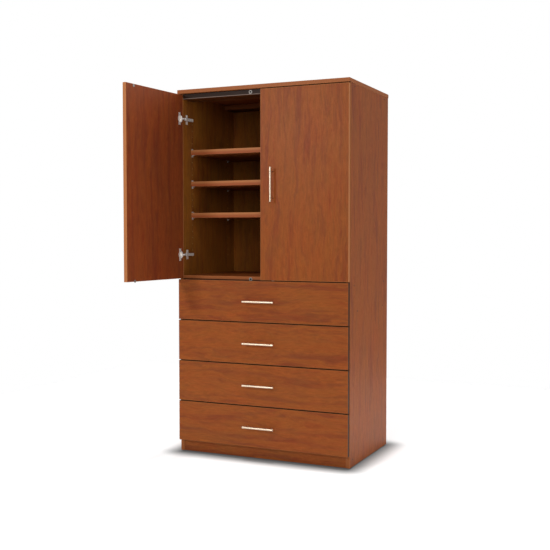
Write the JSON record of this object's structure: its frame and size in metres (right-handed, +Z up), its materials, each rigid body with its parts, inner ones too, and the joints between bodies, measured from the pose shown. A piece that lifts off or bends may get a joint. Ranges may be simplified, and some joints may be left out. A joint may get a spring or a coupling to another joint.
{
  "type": "armoire",
  "caption": "Tall wardrobe cabinet with a pair of hinged doors over shelves and a stack of drawers below, in cherry laminate with bar pulls.",
  "frame": {"origin": "on the floor, midway between the sides and midway from the fronts to the back, under the centre foot", "axes": "+X to the right seen from the front, -Y out of the front, +Z up"},
  "size_m": [0.9793, 1.0203, 1.829],
  "materials": {
    "cherry": "satin laminate",
    "cherry_fronts": "satin laminate",
    "maple": "satin laminate",
    "satin_nickel": "satin",
    "bright_nickel": "polished",
    "zinc_steel": "zinc plated",
    "black_plastic": "matte",
    "bronzed_steel": "satin"
  },
  "bodies": {
    "case": {"top_panel": "cherry", "left_side": "cherry", "right_side": "cherry", "back_panel": "cherry", "deck": "cherry", "bottom_panel": "cherry", "toe_kick": "cherry", "top_front_rail": "cherry", "top_rear_rail": "cherry", "deck_front_rail": "cherry", "deck_rear_rail": "cherry", "upper_shelf": "cherry", "middle_shelf": "cherry", "lower_shelf": "cherry", "shelf_clips": "bright_nickel", "glides": "black_plastic", "centre_foot": "black_plastic", "panel_screws": "bronzed_steel", "door_catches": "bright_nickel", "left_hinge_arms": "bright_nickel", "right_hinge_arms": "bright_nickel", "slide_outers": "zinc_steel"},
    "left_links": {"left_hinge_links": "bright_nickel"},
    "left_door": {"left_door": "cherry_fronts", "left_door_pull": "satin_nickel", "left_hinge_cups": "bright_nickel", "left_door_strikes": "bright_nickel"},
    "right_links": {"right_hinge_links": "bright_nickel"},
    "right_door": {"right_door": "cherry_fronts", "right_door_pull": "satin_nickel", "right_hinge_cups": "bright_nickel", "right_door_strikes": "bright_nickel"},
    "drawer_1": {"drawer_1_front": "cherry_fronts", "drawer_1_pull": "satin_nickel", "drawer_1_sides": "maple", "drawer_1_ends": "maple", "drawer_1_bottom": "maple", "drawer_1_inners": "zinc_steel"},
    "drawer_1_middle": {"drawer_1_middles": "zinc_steel"},
    "drawer_2": {"drawer_2_front": "cherry_fronts", "drawer_2_pull": "satin_nickel", "drawer_2_sides": "maple", "drawer_2_ends": "maple", "drawer_2_bottom": "maple", "drawer_2_inners": "zinc_steel"},
    "drawer_2_middle": {"drawer_2_middles": "zinc_steel"},
    "drawer_3": {"drawer_3_front": "cherry_fronts", "drawer_3_pull": "satin_nickel", "drawer_3_sides": "maple", "drawer_3_ends": "maple", "drawer_3_bottom": "maple", "drawer_3_inners": "zinc_steel"},
    "drawer_3_middle": {"drawer_3_middles": "zinc_steel"},
    "drawer_4": {"drawer_4_front": "cherry_fronts", "drawer_4_pull": "satin_nickel", "drawer_4_sides": "maple", "drawer_4_ends": "maple", "drawer_4_bottom": "maple", "drawer_4_inners": "zinc_steel"},
    "drawer_4_middle": {"drawer_4_middles": "zinc_steel"}
  },
  "joints": [
    {"name": "left_hinge_reach", "type": "slide", "parent": "case", "child": "left_links", "axis": [0.5504, -0.8349, 0], "range_m": [-0.01236, 0.00204]},
    {"name": "left_door_swing", "type": "hinge", "parent": "left_links", "child": "left_door", "pos_m": [-0.4397, -0.28531, 1.34505], "axis": [0, 0, -1], "range_deg": [-94.5, 15.5]},
    {"name": "right_hinge_reach", "type": "slide", "parent": "case", "child": "right_links", "axis": [-0.5504, -0.8349, 0], "range_m": [0, 0.01439]},
    {"name": "right_door_swing", "type": "hinge", "parent": "right_links", "child": "right_door", "pos_m": [0.4465, -0.275, 1.34505], "axis": [0, 0, 1], "range_deg": [0, 110]},
    {"name": "drawer_1_slide", "type": "slide", "parent": "case", "child": "drawer_1", "axis": [0, -1, 0], "range_m": [0, 0.45]},
    {"name": "drawer_1_middle_slide", "type": "slide", "parent": "case", "child": "drawer_1_middle", "axis": [0, -1, 0], "range_m": [0, 0.225]},
    {"name": "drawer_2_slide", "type": "slide", "parent": "case", "child": "drawer_2", "axis": [0, -1, 0], "range_m": [0, 0.45]},
    {"name": "drawer_2_middle_slide", "type": "slide", "parent": "case", "child": "drawer_2_middle", "axis": [0, -1, 0], "range_m": [0, 0.225]},
    {"name": "drawer_3_slide", "type": "slide", "parent": "case", "child": "drawer_3", "axis": [0, -1, 0], "range_m": [0, 0.45]},
    {"name": "drawer_3_middle_slide", "type": "slide", "parent": "case", "child": "drawer_3_middle", "axis": [0, -1, 0], "range_m": [0, 0.225]},
    {"name": "drawer_4_slide", "type": "slide", "parent": "case", "child": "drawer_4", "axis": [0, -1, 0], "range_m": [0, 0.45]},
    {"name": "drawer_4_middle_slide", "type": "slide", "parent": "case", "child": "drawer_4_middle", "axis": [0, -1, 0], "range_m": [0, 0.225]}
  ],
  "couplings": [
    {"joint": "left_hinge_reach", "follows": "left_door_swing", "m_per_rad": 0.007491},
    {"joint": "right_hinge_reach", "follows": "right_door_swing", "m_per_rad": 0.007491},
    {"joint": "drawer_1_middle_slide", "follows": "drawer_1_slide", "ratio": 0.5},
    {"joint": "drawer_2_middle_slide", "follows": "drawer_2_slide", "ratio": 0.5},
    {"joint": "drawer_3_middle_slide", "follows": "drawer_3_slide", "ratio": 0.5},
    {"joint": "drawer_4_middle_slide", "follows": "drawer_4_slide", "ratio": 0.5}
  ]
}
